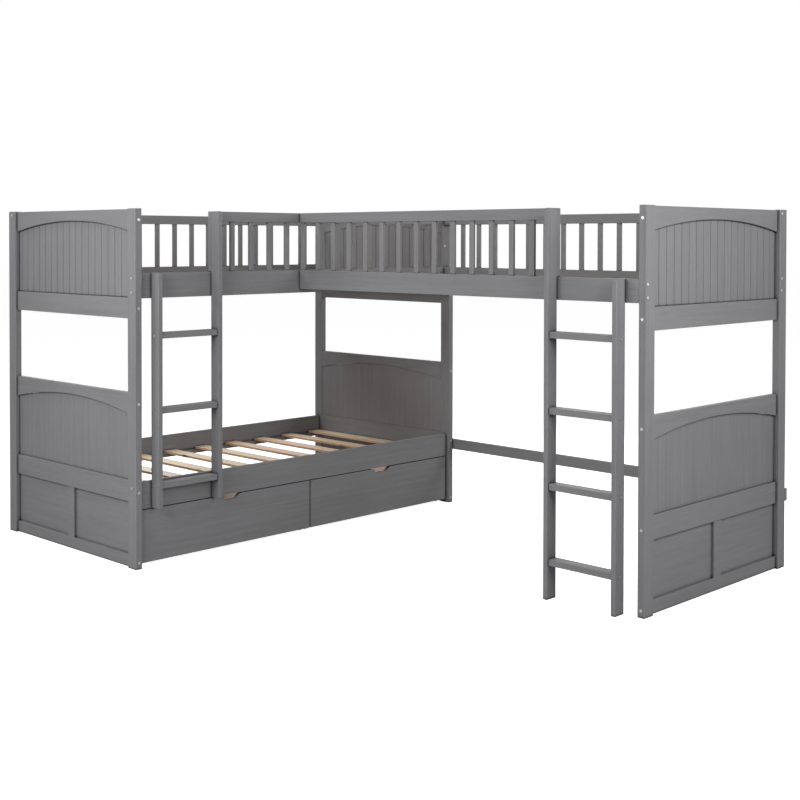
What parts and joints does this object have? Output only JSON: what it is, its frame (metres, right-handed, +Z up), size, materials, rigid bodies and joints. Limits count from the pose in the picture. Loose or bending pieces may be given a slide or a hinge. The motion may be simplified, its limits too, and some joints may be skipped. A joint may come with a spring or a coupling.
{
  "type": "l shaped bunk bed",
  "caption": "L-shaped bunk bed with a loft bed at a right angle to the bunk, arched boarded end panels, picket guards, slatted decks, upright ladders and rolling drawers under the lower bed.",
  "frame": {"origin": "middle of the bed's plan, on the floor", "axes": "+X along the bunk towards the corner with the loft bed, -Y out along the loft bed, +Z up"},
  "size_m": [2.043, 3.023, 1.55],
  "materials": {
    "paint": "painted, satin grey",
    "pine": "bare planed softwood",
    "steel": "zinc-plated",
    "wheel": "black, matt"
  },
  "bodies": {
    "frame": {"left_posts": "paint", "left_top_rail": "paint", "left_boards": "paint", "left_window_rail": "paint", "left_arch_rail": "paint", "left_mid_rail": "paint", "left_base": "paint", "inner_posts": "paint", "inner_top_rail": "paint", "inner_boards": "paint", "inner_window_rail": "paint", "inner_arch_rail": "paint", "inner_mid_rail": "paint", "inner_base": "paint", "loft_posts": "paint", "loft_top_rail": "paint", "loft_boards": "paint", "loft_window_rail": "paint", "loft_arch_rail": "paint", "loft_mid_rail": "paint", "loft_base": "paint", "bunk_front_rail": "paint", "bunk_back_rail": "paint", "lower_front_rail": "paint", "lower_back_rail": "paint", "loft_front_rail": "paint", "loft_back_rail": "paint", "cleats": "paint", "lower_slats": "pine", "upper_slats": "pine", "loft_slats": "pine", "drawer_stops": "paint", "bunk_back_guard_rail": "paint", "bunk_back_pickets": "paint", "bunk_front_guard_rail": "paint", "bunk_front_pickets": "paint", "loft_front_guard_rail": "paint", "loft_front_pickets": "paint", "loft_back_guard_rail": "paint", "loft_back_pickets": "paint", "guard_end_posts": "paint", "bunk_ladder_stiles": "paint", "bunk_ladder_rungs": "paint", "loft_ladder_stiles": "paint", "loft_ladder_rungs": "paint", "rear_stretcher": "paint", "bolts": "steel"},
    "drawer_left": {"drawer_left_front": "paint", "drawer_left_box": "pine", "drawer_left_bottom": "pine", "drawer_left_brackets": "steel"},
    "drawer_left_front_axle": {"drawer_left_front_wheels": "wheel"},
    "drawer_left_rear_axle": {"drawer_left_rear_wheels": "wheel"},
    "drawer_right": {"drawer_right_front": "paint", "drawer_right_box": "pine", "drawer_right_bottom": "pine", "drawer_right_brackets": "steel"},
    "drawer_right_front_axle": {"drawer_right_front_wheels": "wheel"},
    "drawer_right_rear_axle": {"drawer_right_rear_wheels": "wheel"}
  },
  "joints": [
    {"name": "drawer_left_roll", "type": "slide", "parent": "frame", "child": "drawer_left", "axis": [0, -1, 0], "range_m": [0, 0.6]},
    {"name": "drawer_left_front_spin", "type": "hinge", "parent": "drawer_left", "child": "drawer_left_front_axle", "pos_m": [-0.499, 0.5107, 0.0204], "axis": [1, 0, 0], "range_deg": [0, 1800]},
    {"name": "drawer_left_rear_spin", "type": "hinge", "parent": "drawer_left", "child": "drawer_left_rear_axle", "pos_m": [-0.499, 1.1307, 0.0204], "axis": [1, 0, 0], "range_deg": [0, 1800]},
    {"name": "drawer_right_roll", "type": "slide", "parent": "frame", "child": "drawer_right", "axis": [0, -1, 0], "range_m": [0, 0.6]},
    {"name": "drawer_right_front_spin", "type": "hinge", "parent": "drawer_right", "child": "drawer_right_front_axle", "pos_m": [0.479, 0.5107, 0.0204], "axis": [1, 0, 0], "range_deg": [0, 1800]},
    {"name": "drawer_right_rear_spin", "type": "hinge", "parent": "drawer_right", "child": "drawer_right_rear_axle", "pos_m": [0.479, 1.1307, 0.0204], "axis": [1, 0, 0], "range_deg": [0, 1800]}
  ],
  "couplings": [
    {"joint": "drawer_left_front_spin", "follows": "drawer_left_roll", "rad_per_m": 50},
    {"joint": "drawer_left_rear_spin", "follows": "drawer_left_roll", "rad_per_m": 50},
    {"joint": "drawer_right_front_spin", "follows": "drawer_right_roll", "rad_per_m": 50},
    {"joint": "drawer_right_rear_spin", "follows": "drawer_right_roll", "rad_per_m": 50}
  ]
}
